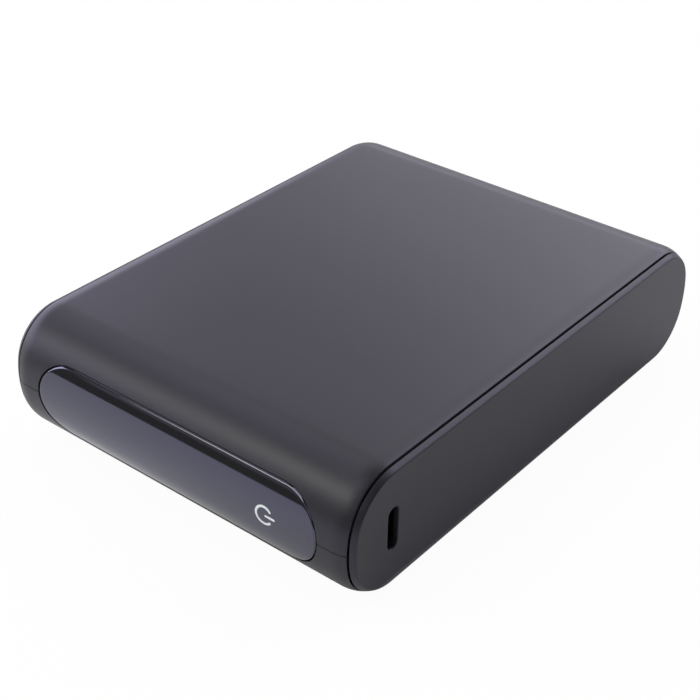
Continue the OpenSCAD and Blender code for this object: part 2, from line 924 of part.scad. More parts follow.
module drive_base() {
    color(cast_colour)
        difference() {
            translate([0, drive_mid, drive_z])
                round_plate(drive_w, drive_l, cover_z - drive_z, lid_r);
            translate([0, platter_y, tub_z])
                cylinder(r = platter_d / 2 + platter_gap, h = drive_h);
            slab(tub_wall + tub_side - drive_w / 2, drive_w / 2 - tub_wall - tub_side,
                 drive_y0 + tub_front, platter_y - tub_over, tub_z, drive_top);
            slab(drive_pcb_side - drive_pcb_gap - drive_w / 2, drive_w / 2 - drive_pcb_side + drive_pcb_gap,
                 drive_y0 - cut, drive_y0 + drive_pcb_l + drive_pcb_gap,
                 drive_z - cut, drive_z + drive_pcb_low + drive_pcb_t);
            slab(-connector_w / 2 - connector_gap, connector_w / 2 + connector_gap,
                 drive_y0 - cut, drive_y0 + connector_l + connector_gap,
                 drive_z - cut, connector_z + connector_h);
            at_spots(lid_spots, cover_z - lid_hole_l)
                cylinder(d = lid_screw_d + 2 * thread_gap, h = lid_hole_l + cut);
        }
}

module drive_cover() {
    color(steel_colour)
        difference() {
            translate([0, drive_mid, cover_z])
                round_plate(drive_w, drive_l, cover_t, lid_r);
            at_spots(lid_spots, cover_z - cut)
                cylinder(d = lid_screw_d + 2 * thread_gap, h = cover_t + 2 * cut);
        }
}

module cover_screws() {
    color(chip_colour)
        at_spots(lid_spots, cover_z) {
            translate([0, 0, -lid_screw_l])
                cylinder(d = lid_screw_d, h = lid_screw_l + cover_t + lid_head_h / 2);
            translate([0, 0, cover_t])
                cylinder(d = lid_head_d, h = lid_head_h);
        }
}

module spindle_shaft() {
    color(steel_colour)
        translate([0, platter_y, tub_z])
            cylinder(d = shaft_d, h = cover_z - tub_z - shaft_end);
}

module drive_hub() {
    color(cast_colour)
        translate([0, platter_y, tub_z + hub_low])
            difference() {
                union() {
                    cylinder(d = hub_d + flange_over, h = flange_h);
                    cylinder(d = hub_d, h = platter_z - tub_z - hub_low);
                    cylinder(d = hub_pilot, h = platter_z + platter_t - tub_z - hub_low);
                }
                translate([0, 0, -cut])
                    cylinder(d = shaft_d + 2 * run_gap, h = drive_h);
            }
}

module drive_platter() {
    color("#d5d8dc")
        translate([0, platter_y, platter_z])
            difference() {
                cylinder(d = platter_d, h = platter_t);
                translate([0, 0, -cut])
                    cylinder(d = hub_pilot + 2 * thread_gap, h = platter_t + 2 * cut);
            }
}

module platter_clamp() {
    color(steel_colour)
        translate([0, platter_y, platter_z + platter_t])
            difference() {
                cylinder(d = clamp_d, h = clamp_t);
                translate([0, 0, -cut])
                    cylinder(d = clamp_bore, h = clamp_t + 2 * cut);
                for (i = [0:clamp_n - 1])
                    rotate(i * 360 / clamp_n)
                        translate([clamp_d / 2 - clamp_in, 0, clamp_t / 2])
                            cylinder(d = clamp_hole, h = clamp_t);
            }
}

module arm_pivot() {
    color(steel_colour)
        translate([arm_x, arm_y, tub_z])
            cylinder(d = pivot_d, h = cover_z - tub_z - shaft_end);
}

// Two thin arms astride the platter, a bearing sleeve and a flat coil behind it
module head_arm() {
    waist_x = arm_l * waist_at;
    color(cast_colour)
        translate([arm_x, arm_y, 0])
            rotate(arm_park)
                difference() {
                    union() {
                        translate([0, 0, tub_z + sleeve_low])
                            cylinder(d = pivot_d + 2 * sleeve_t, h = cover_z - tub_z - 2 * sleeve_low);
                        for (z = [platter_z - arm_gap - arm_t, platter_z + platter_t + arm_gap])
                            translate([0, 0, z])
                                linear_extrude(arm_t)
                                    polygon([[0, -arm_root / 2], [waist_x, -arm_waist / 2],
                                             [arm_l, -arm_tip / 2], [arm_l, arm_tip / 2],
                                             [waist_x, arm_waist / 2], [0, arm_root / 2]]);
                        translate([0, 0, coil_z])
                            linear_extrude(coil_t)
                                polygon([[0, -arm_root / 2], [0, arm_root / 2],
                                         [-coil_neck, coil_w / 2], [-coil_l, coil_w / 2],
                                         [-coil_l, -coil_w / 2], [-coil_neck, -coil_w / 2]]);
                    }
                    translate([0, 0, drive_z])
                        cylinder(d = pivot_d + 2 * run_gap, h = drive_h);
                }
}

// Plates over and under the coil, round about the arm pivot
module magnet_yokes() {
    a0 = arm_park - 180 - arm_range - yoke_a;
    a1 = arm_park - 180 + yoke_a;
    far = 2 * yoke_r;
    color(steel_colour)
        translate([arm_x, arm_y, 0])
            for (z = [[tub_z, coil_z - coil_gap], [coil_z + coil_t + coil_gap, cover_z]])
                translate([0, 0, z[0]])
                    difference() {
                        intersection() {
                            cylinder(r = yoke_r, h = z[1] - z[0]);
                            linear_extrude(z[1] - z[0])
                                polygon([[0, 0], [far * cos(a0), far * sin(a0)],
                                         [far * cos(a1), far * sin(a1)]]);
                        }
                        translate([0, 0, -cut])
                            cylinder(d = pivot_d + 2 * sleeve_t + 2 * coil_gap, h = drive_h);
                    }
}

module drive_board() {
    color(board_colour)
        slab(drive_pcb_side - drive_w / 2, drive_w / 2 - drive_pcb_side,
             drive_y0 + connector_l + drive_pcb_gap, drive_y0 + drive_pcb_l,
             drive_z + drive_pcb_low, drive_z + drive_pcb_low + drive_pcb_t);
}

module drive_connector() {
    color(chip_colour)
        difference() {
            slab(-connector_w / 2, connector_w / 2, drive_y0 + connector_in, drive_y0 + connector_l,
                 connector_z, connector_z + connector_h);
            for (b = blades)
                translate([b[0], drive_y0, connector_z + connector_h / 2])
                    slab(-b[1] / 2 - blade_gap, b[1] / 2 + blade_gap, -cut, blade_l + blade_gap,
                         -blade_h / 2 - blade_gap, blade_h / 2 + blade_gap);
        }
}

module drive_socket() {
    color(chip_colour) {
        slab(-connector_w / 2, connector_w / 2, link_y, drive_y0 - socket_gap,
             connector_z, connector_z + connector_h);
        for (b = blades)
            translate([b[0], drive_y0, connector_z + connector_h / 2])
                slab(-b[1] / 2, b[1] / 2, -socket_gap - blade_root, blade_l, -blade_h / 2, blade_h / 2);
    }
}

module link_board() {
    color(board_colour)
        slab(-connector_w / 2 - link_side, connector_w / 2 + link_side, link_y - link_t, link_y,
             connector_z - link_low, board_z);
}

// One corner wraps the drive's side and end, with a pad below and a pad above
module drive_bumper() {
    bumper_h = pad_t + drive_h + pad_over;
    difference() {
        slab(-pad_l, pad_side, -pad_l, pad_side, 0, bumper_h);
        slab(-pad_l - cut, 0, -pad_l - cut, 0, pad_t, pad_t + drive_h);
        slab(-pad_l - cut, pad_side + cut, -pad_cut, pad_side + cut, -cut, pad_t);
        slab(-pad_l - cut, pad_side + cut, 0, pad_side + cut, -cut, pad_t + pad_low);
    }
}

module drive_bumpers() {
    color(rubber_colour)
        for (i = [0, 1], j = [0, 1])
            translate([0, drive_mid, floor_z])
                mirror([i, 0, 0])
                    mirror([0, j, 0])
                        translate([drive_w / 2, drive_l / 2, 0])
                            drive_bumper();
}

// Frame, boards and battery

module middle_frame() {
    edge = drive_w / 2 + frame_side;
    room_w = battery_w + 2 * fence_gap;
    room_l = battery_l + 2 * fence_gap;
    color(frame_colour)
        difference() {
            union() {
                slab(-edge, edge, drive_y0 + frame_front, drive_y1, frame_z, frame_top);
                at_spots(post_spots, frame_z)
                    cylinder(d = spigot_d + 2 * ear_ring, h = frame_t);
                at_spots(board_spots, frame_z)
                    cylinder(d = standoff_d, h = board_z - frame_z);
                translate([0, battery_mid, frame_top])
                    difference() {
                        translate([0, 0, -sink])
                            block(room_w + 2 * fence_t, room_l + 2 * fence_t, fence_h + sink);
                        translate([0, 0, -cut])
                            block(room_w, room_l, fence_h + 2 * cut);
                        translate([header_x, -room_l / 2, 0])
                            block(fence_w, 4 * fence_t, fence_h + cut);
                    }
            }
            at_spots(post_spots, frame_z - cut)
                cylinder(d = spigot_d + 2 * spigot_gap, h = frame_t + 2 * cut);
            at_spots(board_spots, frame_z - cut)
                cylinder(d = board_screw_d + 2 * thread_gap, h = board_z - frame_z + 2 * cut);
        }
}

module main_board() {
    notch_w = pillar_d + 2 * board_room;
    color(board_colour)
        difference() {
            slab(-board_w / 2, board_w / 2, board_y0, board_y1, board_z, board_top);
            for (s = [-1, 1])
                translate([s * post_x, post_front, board_z - cut]) {
                    cylinder(d = notch_w, h = board_t + 2 * cut);
                    translate([s * notch_w, 0, 0])
                        block(2 * notch_w, notch_w, board_t + 2 * cut);
                }
            slab(usb_x0 - usb_gap, case_w / 2, usb_y - usb_h / 2 - usb_gap, usb_y + usb_h / 2 + usb_gap,
                 board_z - cut, board_top + cut);
            at_spots(board_spots, board_z - cut)
                cylinder(d = board_screw_d + 2 * board_screw_gap, h = board_t + 2 * cut);
        }
}

module board_screws() {
    color(steel_colour)
        at_spots(board_spots, board_top) {
            translate([0, 0, frame_z - board_top])
                cylinder(d = board_screw_d, h = board_top - frame_z + board_head_h / 2);
            cylinder(d = board_head_d, h = board_head_h);
        }
}

module processor() {
    color(chip_colour)
        at_spots([chip_spot], board_top)
            block(chip_w, chip_w, chip_h);
}

module heat_spreader() {
    fin_pitch = (sink_w - fin_t) / (fin_n - 1);
    color(cast_colour)
        at_spots([chip_spot], board_top + chip_h) {
            block(sink_w, sink_l, sink_t);
            for (i = [0:fin_n - 1])
                translate([(fin_t - sink_w) / 2 + i * fin_pitch, 0, sink_t / 2])
                    block(fin_t, sink_l, fin_h + sink_t / 2);
        }
}

module memory_chips() {
    color(chip_colour)
        at_spots(memory_spots, board_top)
            block(memory_w, memory_l, memory_h);
}

module network_transformer() {
    color(chip_colour)
        translate([lan_x0 + lan_l + coil_box_gap + coil_box_w / 2, lan_mid - coil_box_in, board_top])
            block(coil_box_w, coil_box_l, coil_box_h);
}

module wireless_module() {
    color(steel_colour)
        at_spots([wifi_spot], board_top)
            block(wifi_w, wifi_l, wifi_h);
}

module wireless_antennas() {
    color(gold_colour)
        at_spots([[-antenna_x, antenna_y], [antenna_x, antenna_y]], roof_z - antenna_gap - antenna_t)
            block(antenna_w, antenna_l, antenna_t);
}

// Each lead rises from the module, bends once and runs back under its antenna
module antenna_leads() {
    top = roof_z - antenna_gap - antenna_t - lead_gap - lead_d / 2;
    low = board_top + wifi_h;
    color(rubber_colour)
        for (s = [-1, 1])
            translate([wifi_spot[0] + s * lead_x, wifi_spot[1], 0]) {
                translate([0, 0, low])
                    cylinder(d = lead_d, h = top - lead_bend - low);
                translate([0, lead_bend, top - lead_bend])
                    rotate([90, 0, 90])
                        rotate(90)
                            rotate_extrude(angle = 90)
                                translate([lead_bend, 0])
                                    circle(d = lead_d);
                translate([0, 0, top])
                    rod_y(lead_d, lead_bend, antenna_y - wifi_spot[1]);
            }
}

module battery_pack() {
    color("#8f949b")
        translate([0, battery_mid, frame_top])
            round_plate(battery_w, battery_l, battery_h, battery_r);
}

module battery_leads() {
    for (s = [-1, 1])
        color(s > 0 ? "#a8322c" : chip_colour)
            translate([header_x + s * wire_x, 0, wire_z])
                rod_y(wire_d, board_y1 - header_in, battery_y0);
}

module battery_header() {
    color(pale_colour)
        translate([header_x, board_y1 - header_in - header_l / 2, board_top])
            block(header_w, header_l, header_h);
}

upper_shell();
lower_shell();
left_end_cap();
right_end_cap();
rubber_feet();
case_screws();
front_panel();
power_mark();
hinge_pin();
panel_carrier();
light_guide();
power_switch();
switch_plunger();
power_light();
usb_socket_shell();
usb_socket_tongue();
network_socket();
network_contacts();
drive_base();
drive_cover();
cover_screws();
spindle_shaft();
drive_hub();
drive_platter();
platter_clamp();
arm_pivot();
head_arm();
magnet_yokes();
drive_board();
drive_connector();
drive_bumpers();
drive_socket();
link_board();
middle_frame();
main_board();
board_screws();
processor();
heat_spreader();
memory_chips();
network_transformer();
wireless_module();
wireless_antennas();
antenna_leads();
battery_pack();
battery_leads();
battery_header();
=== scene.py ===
import json
import math

import bmesh
import bpy
import numpy as np
from mathutils import Matrix, Vector


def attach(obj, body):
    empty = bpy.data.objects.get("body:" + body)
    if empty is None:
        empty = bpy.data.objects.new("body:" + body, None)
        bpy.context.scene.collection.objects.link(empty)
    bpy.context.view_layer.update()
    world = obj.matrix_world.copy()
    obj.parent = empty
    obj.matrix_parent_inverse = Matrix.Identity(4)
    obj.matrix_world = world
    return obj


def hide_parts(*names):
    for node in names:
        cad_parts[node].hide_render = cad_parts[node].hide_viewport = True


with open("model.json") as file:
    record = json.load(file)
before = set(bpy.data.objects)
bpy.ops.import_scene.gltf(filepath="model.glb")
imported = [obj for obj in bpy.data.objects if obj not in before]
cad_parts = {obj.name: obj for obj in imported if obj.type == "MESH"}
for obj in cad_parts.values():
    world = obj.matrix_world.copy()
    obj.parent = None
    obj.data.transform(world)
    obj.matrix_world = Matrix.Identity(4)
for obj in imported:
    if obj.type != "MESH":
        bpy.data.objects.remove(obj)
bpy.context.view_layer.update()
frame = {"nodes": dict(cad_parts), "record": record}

# Sizes are in millimetres, in the frame of the solids: +X to the right end, -Y to the front, +Z up,
# zero on the plane of the feet. Only the studio's sizes are in metres.
MM = 0.001

# The case: its outside, the arcs of its section, its roll towards the ends, and the groove that
# sets off the rim of each end cap
CASE_W, CASE_D, CASE_H, FOOT_H = 93.0, 127.99, 29.6, 1.0
CORNER_R, FACE_R, WALL = 12.7, 24.3, 1.8
ROLL_LEN, ROLL_R = 4.8, 8.0
RIM_W, GROOVE_W = 1.2, 0.4
MID_Z = FOOT_H + CASE_H / 2
FRONT_Y = -CASE_D / 2
CAP_X = CASE_W / 2 - RIM_W
SHELL_X = CAP_X - GROOVE_W
CORNER_UP = CASE_H / 2 - CORNER_R
CORNER_IN = FACE_R - math.sqrt((FACE_R - CORNER_R) ** 2 - CORNER_UP ** 2)
FACE_A = math.asin(CORNER_UP / (FACE_R - CORNER_R))

# Lengths along the section: a face arc, a face and a corner arc, the flat, and the upper half
FACE_LEN = FACE_R * FACE_A
ARC_LEN = FACE_LEN + CORNER_R * (math.pi / 2 - FACE_A)
FLAT_LEN = CASE_D - 2 * CORNER_IN
HALF_LEN = 2 * ARC_LEN + FLAT_LEN

# The key's panel with the gap round it, and the screw posts
PANEL_L, PANEL_H, PANEL_T, PANEL_GAP = 76.2, 17.2, 1.7, 0.25
POST_X, POST_FRONT_Y, POST_BACK_Y = 38.225, -35.995, 42.205
POSTS = [(sx * POST_X, y) for sx in (-1, 1) for y in (POST_FRONT_Y, POST_BACK_Y)]


# Camera at the photograph's angle

AZIMUTH, ELEVATION, TILT = (math.radians(v) for v in (38.262, 33.015, 1.119))
EYE = (173.13, -226.03, 195.63)
SENSOR, LENS = 36, 76.49
NEAREST = 0.01

eye_back = Vector((math.sin(AZIMUTH) * math.cos(ELEVATION),
                   -math.cos(AZIMUTH) * math.cos(ELEVATION), math.sin(ELEVATION)))
level = Vector((math.cos(AZIMUTH), math.sin(AZIMUTH), 0))
upright = eye_back.cross(level)
eye_right = level * math.cos(TILT) + upright * math.sin(TILT)
eye_up = upright * math.cos(TILT) - level * math.sin(TILT)
camera = bpy.data.objects.new("camera", bpy.data.cameras.new("camera"))
bpy.context.scene.collection.objects.link(camera)
camera.data.sensor_width = SENSOR
camera.data.lens = LENS
camera.data.clip_start = NEAREST
turned = Matrix((eye_right, eye_up, eye_back)).transposed().to_4x4()
camera.matrix_world = Matrix.Translation(Vector(EYE) * MM) @ turned
bpy.context.scene.camera = camera


# Shapes as arrays

WELD_STEPS = 1e4    # steps in a millimetre: points on the same step are one point
SHARP_ANGLE = math.radians(38)
RING_COUNT = 48


def roll(x):
    """Inset of the case skin near its ends: an arc of ROLL_R over the last ROLL_LEN."""
    reach = np.maximum(np.abs(x) - (CASE_W / 2 - ROLL_LEN), 0)
    return ROLL_R - np.sqrt(ROLL_R ** 2 - reach ** 2)


def section(u):
    """Case section at length u along its skin from the front parting line, over the top to the
    back: a face arc, a corner arc, a flat, and the same back again. A length below zero runs under
    the front. Returns y, height above the parting line, and the outward normal's y and z."""
    side = np.sign(u) + (u == 0)
    u = np.abs(u)
    back = u > HALF_LEN / 2
    v = np.where(back, HALF_LEN - u, u)
    turn = np.where(v < FACE_LEN, v / FACE_R, FACE_A + (v - FACE_LEN) / CORNER_R)
    turn = np.minimum(turn, math.pi / 2)
    y = np.where(v < FACE_LEN, FACE_R - FACE_R * np.cos(turn),
                 CORNER_IN - CORNER_R * np.cos(turn) + np.maximum(v - ARC_LEN, 0))
    z = np.where(v < FACE_LEN, FACE_R * np.sin(turn), CORNER_UP + CORNER_R * np.sin(turn))
    way = np.where(back, -1, 1)
    return way * (FRONT_Y + y), side * z, -way * np.cos(turn), side * np.sin(turn)


def skin(x, u, sink, half=1):
    """Point of the case skin at x and length u, sunk below it along the section's normal. half is
    1 for the upper shell and -1 for its mirror image below."""
    y, z, ny, nz = section(u)
    depth = roll(x) + sink
    x, y, z = np.broadcast_arrays(x, y - depth * ny, MID_Z + half * (z - depth * nz))
    return np.stack([x, y, z], axis=-1)


def up_front(z, sink=0):
    """Length along the skin at which the front, sunk by sink, stands z above the parting line."""
    low = FACE_R * np.arcsin(np.clip(np.abs(z) / (FACE_R - sink), 0, 1))
    lift = np.clip((np.abs(z) - CORNER_UP) / (CORNER_R - sink), -1, 1)
    high = FACE_LEN + CORNER_R * (np.arcsin(lift) - FACE_A)
    return np.sign(z) * np.where(np.abs(z) < (FACE_R - sink) * math.sin(FACE_A), low, high)


def flat_u(y):
    """Length along the skin of a place on the flat top or bottom."""
    return ARC_LEN + np.asarray(y) - FRONT_Y - CORNER_IN


def eased(e, r):
    """Depth of a round edge of radius r at the distance e from that edge."""
    return r - np.sqrt(np.maximum(r * r - np.clip(r - e, 0, r) ** 2, 0))


def edge_steps(r, turns=3):
    """Distances from an edge that draw its quarter round in even turns, with one row beyond."""
    return np.append(r * (1 - np.cos(np.linspace(0, math.pi / 2, turns + 1))), 2 * r)


def spans(stops, counts):
    """Even places from each stop to the next, as many in each span as counts says with its ends."""
    rows = [np.linspace(a, b, n)[1:] for a, b, n in zip(stops, stops[1:], counts)]
    return np.concatenate([stops[:1], *rows])


def sheet_of(grid, around=False):
    """A grid of points (rows, columns, 3) as a list of points and four-sided faces; around joins
    the last column to the first."""
    rows, cols = grid.shape[:2]
    r, c = np.meshgrid(np.arange(rows - 1), np.arange(cols - (not around)), indexing="ij")
    n = (c + 1) % cols
    faces = np.stack([r * cols + c, r * cols + n, (r + 1) * cols + n, (r + 1) * cols + c], axis=-1)
    return grid.reshape(-1, 3), faces.reshape(-1, 4)


def ring_of(profile, spot):
    """A closed profile of (radius, height) turned about the upright through spot."""
    turn = np.linspace(0, 2 * math.pi, RING_COUNT, endpoint=False)
    r, z = np.array(profile + profile[:1]).T[:, :, None]
    x, y = spot[0] + r * np.cos(turn), spot[1] + r * np.sin(turn)
    return sheet_of(np.stack(np.broadcast_arrays(x, y, z), axis=-1), around=True)


def gather(parts):
    """Several (points, faces) as one."""
    counts = np.cumsum([0] + [len(p) for p, _ in parts])
    return (np.concatenate([p for p, _ in parts]),
            np.concatenate([f + n for (_, f), n in zip(parts, counts)]))


def build(name, parts, body, node, slot):
    """Welds points that meet, lets a face that has closed on a side become a triangle, turns the
    faces outwards, and puts the mesh on its body in place of the node, in the slot's finish."""
    points, faces = gather(parts)
    _, first, same = np.unique(np.round(points * WELD_STEPS).astype(np.int64), axis=0,
                               return_index=True, return_inverse=True)
    points, faces = points[first], same.reshape(-1)[faces]
    corner = faces != np.roll(faces, -1, axis=1)
    whole = (corner.sum(axis=1) > 2) & (faces[:, 0] != faces[:, 2]) & (faces[:, 1] != faces[:, 3])
    faces, corner = faces[whole], corner[whole]
    sides = corner.sum(axis=1)
    starts = np.concatenate([[0], np.cumsum(sides)[:-1]])
    mesh = bpy.data.meshes.new(name)
    mesh.vertices.add(len(points))
    mesh.vertices.foreach_set("co", (points * MM).ravel())
    mesh.loops.add(int(sides.sum()))
    mesh.loops.foreach_set("vertex_index", faces[corner].astype(np.int32))
    mesh.polygons.add(len(sides))
    mesh.polygons.foreach_set("loop_start", starts.astype(np.int32))
    mesh.update(calc_edges=True)
    mesh.validate()
    work = bmesh.new()
    work.from_mesh(mesh)
    bmesh.ops.recalc_face_normals(work, faces=work.faces)
    work.to_mesh(mesh)
    work.free()
    mesh.shade_smooth()
    mesh.set_sharp_from_angle(angle=SHARP_ANGLE)
    mesh.materials.append(FINISHES[slot])
    piece = bpy.data.objects.new(name, mesh)
    bpy.context.scene.collection.objects.link(piece)
    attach(piece, body)
    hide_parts(node)


# Finishes

CLOUD = 26.0                          # size of the faint cloud in a moulded colour
SPECK_CELL = 4.2                      # distance between the places where a speck may lie
SPECK_OUT, SPECK_IN = 0.035, 0.015    # a speck's rim and core, as shares of that distance
SPECK_CLEAN = 0.93                    # share of the places that stay clean
DUST = "#a9a9b2"
CLOUD_GLOSS, GRIT_GLOSS = 0.02, 0.06  # how far a roughness varies either way
TRACK_W, TRACK_RUN, TRACK_ROW = 0.09, 5.5, 0.85
TRACK_SHIFT = 0.37                    # offset of every second row of tracks
TRACK_DEPTH = 0.03
RESIST_ROUGH, TRACK_ROUGH = 0.36, 0.24
VIA_CELL = 3.4                        # distance between the vias
VIA_OUT, VIA_IN = 0.12, 0.08          # a via's rim and core, as shares of that distance


def linear(code):
    """Linear colour of an sRGB hex code."""
    c = np.array([int(code[i:i + 2], 16) for i in (1, 3, 5)]) / 255
    return (*np.where(c <= 0.04045, c / 12.92, ((c + 0.055) / 1.055) ** 2.4), 1.0)


def per_mm(size):
    """Texture scale, in metre coordinates, that repeats a pattern about every size millimetres."""
    return 1 / (size * MM)


def add(tree, kind, inputs=(), **settings):
    """Adds a node with its settings; an input is a value, or a socket that is then linked."""
    node = tree.nodes.new("ShaderNode" + kind)
    for key, value in settings.items():
        setattr(node, key, value)
    for key, value in dict(inputs).items():
        if isinstance(value, bpy.types.NodeSocket):
            tree.links.new(value, node.inputs[key])
        else:
            node.inputs[key].default_value = value
    return node


def finish_of(name):
    """A new material: its tree, its shader and its Object coordinates."""
    material = bpy.data.materials.new(name)
    material.use_nodes = True
    tree = material.node_tree
    return material, tree, tree.nodes["Principled BSDF"], add(tree, "TexCoord").outputs["Object"]


def dress(tree, shader, colour, gloss, height, strength, depth):
    """Leads a colour, a roughness, and a height as relief of a depth in millimetres to a shader."""
    relief = add(tree, "Bump", {"Height": height, "Strength": strength, "Distance": depth * MM})
    tree.links.new(colour.outputs["Result"], shader.inputs["Base Color"])
    tree.links.new(gloss.outputs["Result"], shader.inputs["Roughness"])
    tree.links.new(relief.outputs["Normal"], shader.inputs["Normal"])


def moulded(name, dark, light, rough, grain, depth, tint="#ffffff", specks=0.0, **sockets):
    """Moulded plastic or rubber: noise of the size grain as its relief, a wide faint cloud in its
    colour and gloss, and rare specks of dust of the strength specks."""
    material, tree, shader, place = finish_of(name)
    cloud = add(tree, "TexNoise", {"Vector": place, "Scale": per_mm(CLOUD), "Detail": 3.0})
    fine = add(tree, "TexNoise", {"Vector": place, "Scale": per_mm(grain), "Detail": 2.0})
    colour = add(tree, "Mix", {"Factor": cloud.outputs["Fac"], "A": linear(dark),
                               "B": linear(light)}, data_type="RGBA")
    if specks:
        cells = add(tree, "TexVoronoi", {"Vector": place, "Scale": per_mm(SPECK_CELL),
                                         "Randomness": 1.0})
        near = add(tree, "MapRange", {"Value": cells.outputs["Distance"], "From Min": SPECK_OUT,
                                      "From Max": SPECK_IN, "To Max": specks})
        pick = add(tree, "SeparateColor", {"Color": cells.outputs["Color"]})
        rare = add(tree, "Math", {0: pick.outputs["Red"], 1: SPECK_CLEAN},
                   operation="GREATER_THAN")
        both = add(tree, "Math", {0: near.outputs["Result"], 1: rare.outputs["Value"]},
                   operation="MULTIPLY")
        colour = add(tree, "Mix", {"Factor": both.outputs["Value"], "A": colour.outputs["Result"],
                                   "B": linear(DUST)}, data_type="RGBA")
    gloss = add(tree, "MapRange", {"Value": cloud.outputs["Fac"], "To Min": rough - CLOUD_GLOSS,
                                   "To Max": rough + CLOUD_GLOSS})
    dress(tree, shader, colour, gloss, fine.outputs["Fac"], 1.0, depth)
    shader.inputs["Specular Tint"].default_value = linear(tint)
    for key, value in sockets.items():
        shader.inputs[key.replace("_", " ")].default_value = value
    return material


def metal(name, dark, light, rough, lay, depth, stretch=(1, 1, 1)):
    """Bare or plated metal: streaks or grit of the size lay, drawn out along the axes that stretch
    makes small, in its colour, roughness and relief."""
    material, tree, shader, place = finish_of(name)
    laid = add(tree, "Mapping", {"Vector": place, "Scale": stretch})
    grit = add(tree, "TexNoise", {"Vector": laid.outputs["Vector"], "Scale": per_mm(lay),
                                  "Detail": 3.0})
    colour = add(tree, "Mix", {"Factor": grit.outputs["Fac"], "A": linear(dark),
                               "B": linear(light)}, data_type="RGBA")
    gloss = add(tree, "MapRange", {"Value": grit.outputs["Fac"], "To Min": rough - GRIT_GLOSS,
                                   "To Max": rough + GRIT_GLOSS})
    dress(tree, shader, colour, gloss, grit.outputs["Fac"], 0.6, depth)
    shader.inputs["Metallic"].default_value = 1.0
    return material


def circuit_board(name, dark, light, track, tin):
    """Glass-epoxy board under solder resist: tracks as thin paler lines between rows of bricks, and
    tinned vias as small bright dots in the middle of cells."""
    material, tree, shader, place = finish_of(name)
    lines = add(tree, "TexBrick", {"Vector": place, "Scale": per_mm(1.0), "Mortar Size": TRACK_W,
                                   "Brick Width": TRACK_RUN, "Row Height": TRACK_ROW,
                                   "Color1": linear(dark), "Color2": linear(light),
                                   "Mortar": linear(track)}, offset=TRACK_SHIFT)
    cells = add(tree, "TexVoronoi", {"Vector": place, "Scale": per_mm(VIA_CELL)})
    dots = add(tree, "MapRange", {"Value": cells.outputs["Distance"], "From Min": VIA_OUT,
                                  "From Max": VIA_IN})
    colour = add(tree, "Mix", {"Factor": dots.outputs["Result"], "A": lines.outputs["Color"],
                               "B": linear(tin)}, data_type="RGBA")
    gloss = add(tree, "MapRange", {"Value": lines.outputs["Fac"], "To Min": RESIST_ROUGH,
                                   "To Max": TRACK_ROUGH})
    dress(tree, shader, colour, gloss, lines.outputs["Fac"], 0.5, TRACK_DEPTH)
    return material


# After its name, a finish has its darker and lighter shade, its roughness, the size of its grain
# and the depth of its relief. A grain too fine to show is drawn at about 0.3 mm instead.
FINISHES = {
    # ABS from a spark-eroded tool: charcoal with a cool cast, a broad soft sheen, rare dust
    "case_plastic": moulded("textured_abs_charcoal", "#232227", "#26252a", 0.42, 0.30, 0.010,
                            tint="#e2e0ff", specks=0.25),
    # The same plastic on the caps, a shade darker and duller
    "cap_plastic": moulded("textured_abs_cap", "#222127", "#252429", 0.44, 0.30, 0.010,
                           tint="#e2e0ff", specks=0.2),
    # Polished acrylic-coated ABS: near black inside, a mirror-like skin with a trace of unevenness
    "gloss_key": moulded("polished_abs_key", "#26262b", "#29292e", 0.07, 14.0, 0.012,
                         tint="#d4d2ff", IOR=1.88),
    # White second-shot ABS, level with the key: clean, slightly cool, half gloss
    "white_mark": moulded("white_second_shot_abs", "#e3e7f6", "#e9edfa", 0.25, 0.5, 0.004),
    # Moulded rubber: black going to grey, quite dull
    "black_rubber": moulded("moulded_rubber_black", "#1d1d20", "#252528", 0.72, 0.5, 0.03),
    # Glass-filled nylon: dark grey, dull, a little rough from the fibres
    "frame_plastic": moulded("glass_filled_nylon_frame", "#202125", "#292a2f", 0.55, 0.4, 0.02),
    # Natural nylon: warm white, waxy
    "white_plastic": moulded("natural_nylon_white", "#d8d3c6", "#e4e0d5", 0.45, 0.6, 0.01),
    # Epoxy moulding compound: matt black with a fine grit
    "chip_black": moulded("epoxy_moulding_black", "#17181a", "#202124", 0.5, 0.25, 0.012),
    # Extruded PVC insulation: dull red, smooth
    "wire_red": moulded("pvc_wire_insulation", "#7d2420", "#8e2c26", 0.45, 0.8, 0.01),
    # Moulded clear acrylic: glassy, with slow waves
    "clear_guide": moulded("clear_acrylic_guide", "#dfe5e8", "#eef2f4", 0.12, 3.0, 0.004,
                           Transmission_Weight=0.85, IOR=1.49),
    # Turned, zinc-plated steel: bright, with fine rings across the upright
    "screw_steel": metal("turned_steel_zinc", "#a9acb0", "#c3c6ca", 0.3, 0.35, 0.006, (1, 1, 3)),
    # Brushed sheet steel: streaks from front to back
    "sheet_steel": metal("brushed_sheet_steel", "#a4a7ab", "#bfc2c6", 0.34, 0.45, 0.005,
                         (1, 0.04, 1)),
    # Steel plated with black nickel: dark, half gloss
    "dark_steel": metal("black_nickel_steel", "#26272a", "#34353a", 0.42, 0.3, 0.004),
    # Die-cast aluminium: pale grey with a dull, uneven skin
    "cast_aluminium": metal("die_cast_aluminium", "#8d9196", "#a3a7ac", 0.5, 0.5, 0.02),
    # Sputtered glass disk: a mirror
    "platter_mirror": metal("sputtered_glass_platter", "#c6cace", "#d3d6da", 0.09, 9.0, 0.001),
    # Gold-flashed bronze: warm and bright, with stamping marks
    "contact_gold": metal("gold_flashed_bronze", "#b48a33", "#d2a94e", 0.26, 0.3, 0.003),
    # Laminated foil pouch: silver, with soft creases about 5 mm apart
    "battery_foil": metal("laminate_foil_pouch", "#868b91", "#9a9fa5", 0.4, 5.0, 0.25),
    # Glass-epoxy board: glossy green resist, paler over the tracks, with tinned dots
    "board_green": circuit_board("fr4_green_resist", "#174b30", "#1a5336", "#2b7550", "#b9bbb4"),
}
